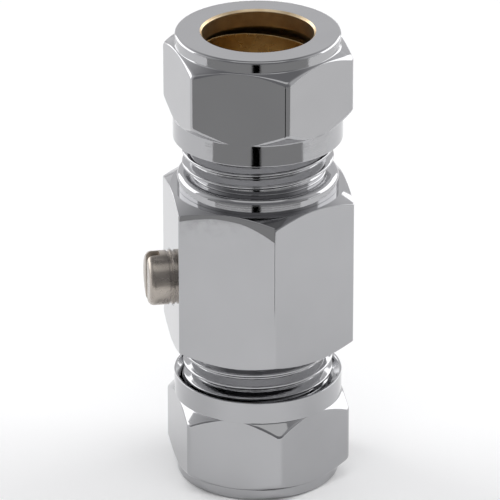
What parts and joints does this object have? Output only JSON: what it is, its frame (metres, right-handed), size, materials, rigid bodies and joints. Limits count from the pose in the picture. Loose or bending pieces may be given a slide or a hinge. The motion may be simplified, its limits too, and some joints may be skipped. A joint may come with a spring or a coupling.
{
  "type": "compression ball valve",
  "caption": "Straight compression isolating valve with a quarter-turn ball, a slotted stem, a hexagonal body and a compression nut and olive at each end.",
  "frame": {"origin": "on the pipe axis, in the outer face of the lower nut, which the valve stands on", "axes": "+Z along the pipe axis towards the upper nut; the stem points along -X; the body's hexagon has its corners on +Y and -Y"},
  "size_m": [0.0281, 0.0282, 0.0662],
  "materials": {
    "chrome_plate": "bright chrome plate, buffed flats",
    "nut_plate": "bright chrome plate over turned brass",
    "nickel_stem": "turned and nickel plated, warm grey",
    "bare_brass": "turned, unplated",
    "ptfe": "waxy white",
    "rubber_seal": "black, satin"
  },
  "bodies": {
    "valve": {"body": "chrome_plate", "end_connector": "chrome_plate", "connector_seal": "rubber_seal", "lower_seat": "ptfe", "upper_seat": "ptfe", "stem_thrust_washer": "ptfe"},
    "stem": {"stem": "nickel_stem", "inner_stem_seal": "rubber_seal", "outer_stem_seal": "rubber_seal"},
    "ball": {"ball": "chrome_plate"},
    "lower_olive": {"lower_olive": "bare_brass"},
    "lower_nut": {"lower_nut": "nut_plate"},
    "upper_olive": {"upper_olive": "bare_brass"},
    "upper_nut": {"upper_nut": "nut_plate"}
  },
  "joints": [
    {"name": "stem_turn", "type": "hinge", "parent": "valve", "child": "stem", "pos_m": [0, 0, 0.03021], "axis": [1, 0, 0], "range_deg": [0, 90]},
    {"name": "ball_turn", "type": "hinge", "parent": "valve", "child": "ball", "pos_m": [0, 0, 0.03021], "axis": [1, 0, 0], "range_deg": [0, 90]},
    {"name": "lower_nut_travel", "type": "slide", "parent": "valve", "child": "lower_olive", "axis": [0, 0, -1], "range_m": [0, 0.00545]},
    {"name": "lower_nut_turn", "type": "hinge", "parent": "lower_olive", "child": "lower_nut", "pos_m": [0, 0, 0.0075], "axis": [0, 0, -1], "range_deg": [0, 1080]},
    {"name": "upper_nut_travel", "type": "slide", "parent": "valve", "child": "upper_olive", "axis": [0, 0, 1], "range_m": [0, 0.00545]},
    {"name": "upper_nut_turn", "type": "hinge", "parent": "upper_olive", "child": "upper_nut", "pos_m": [0, 0, 0.058], "axis": [0, 0, 1], "range_deg": [0, 1080]}
  ],
  "couplings": [
    {"joint": "ball_turn", "follows": "stem_turn", "ratio": 1},
    {"joint": "lower_nut_travel", "follows": "lower_nut_turn", "m_per_rad": 0.00028871},
    {"joint": "upper_nut_travel", "follows": "upper_nut_turn", "m_per_rad": 0.00028871}
  ]
}
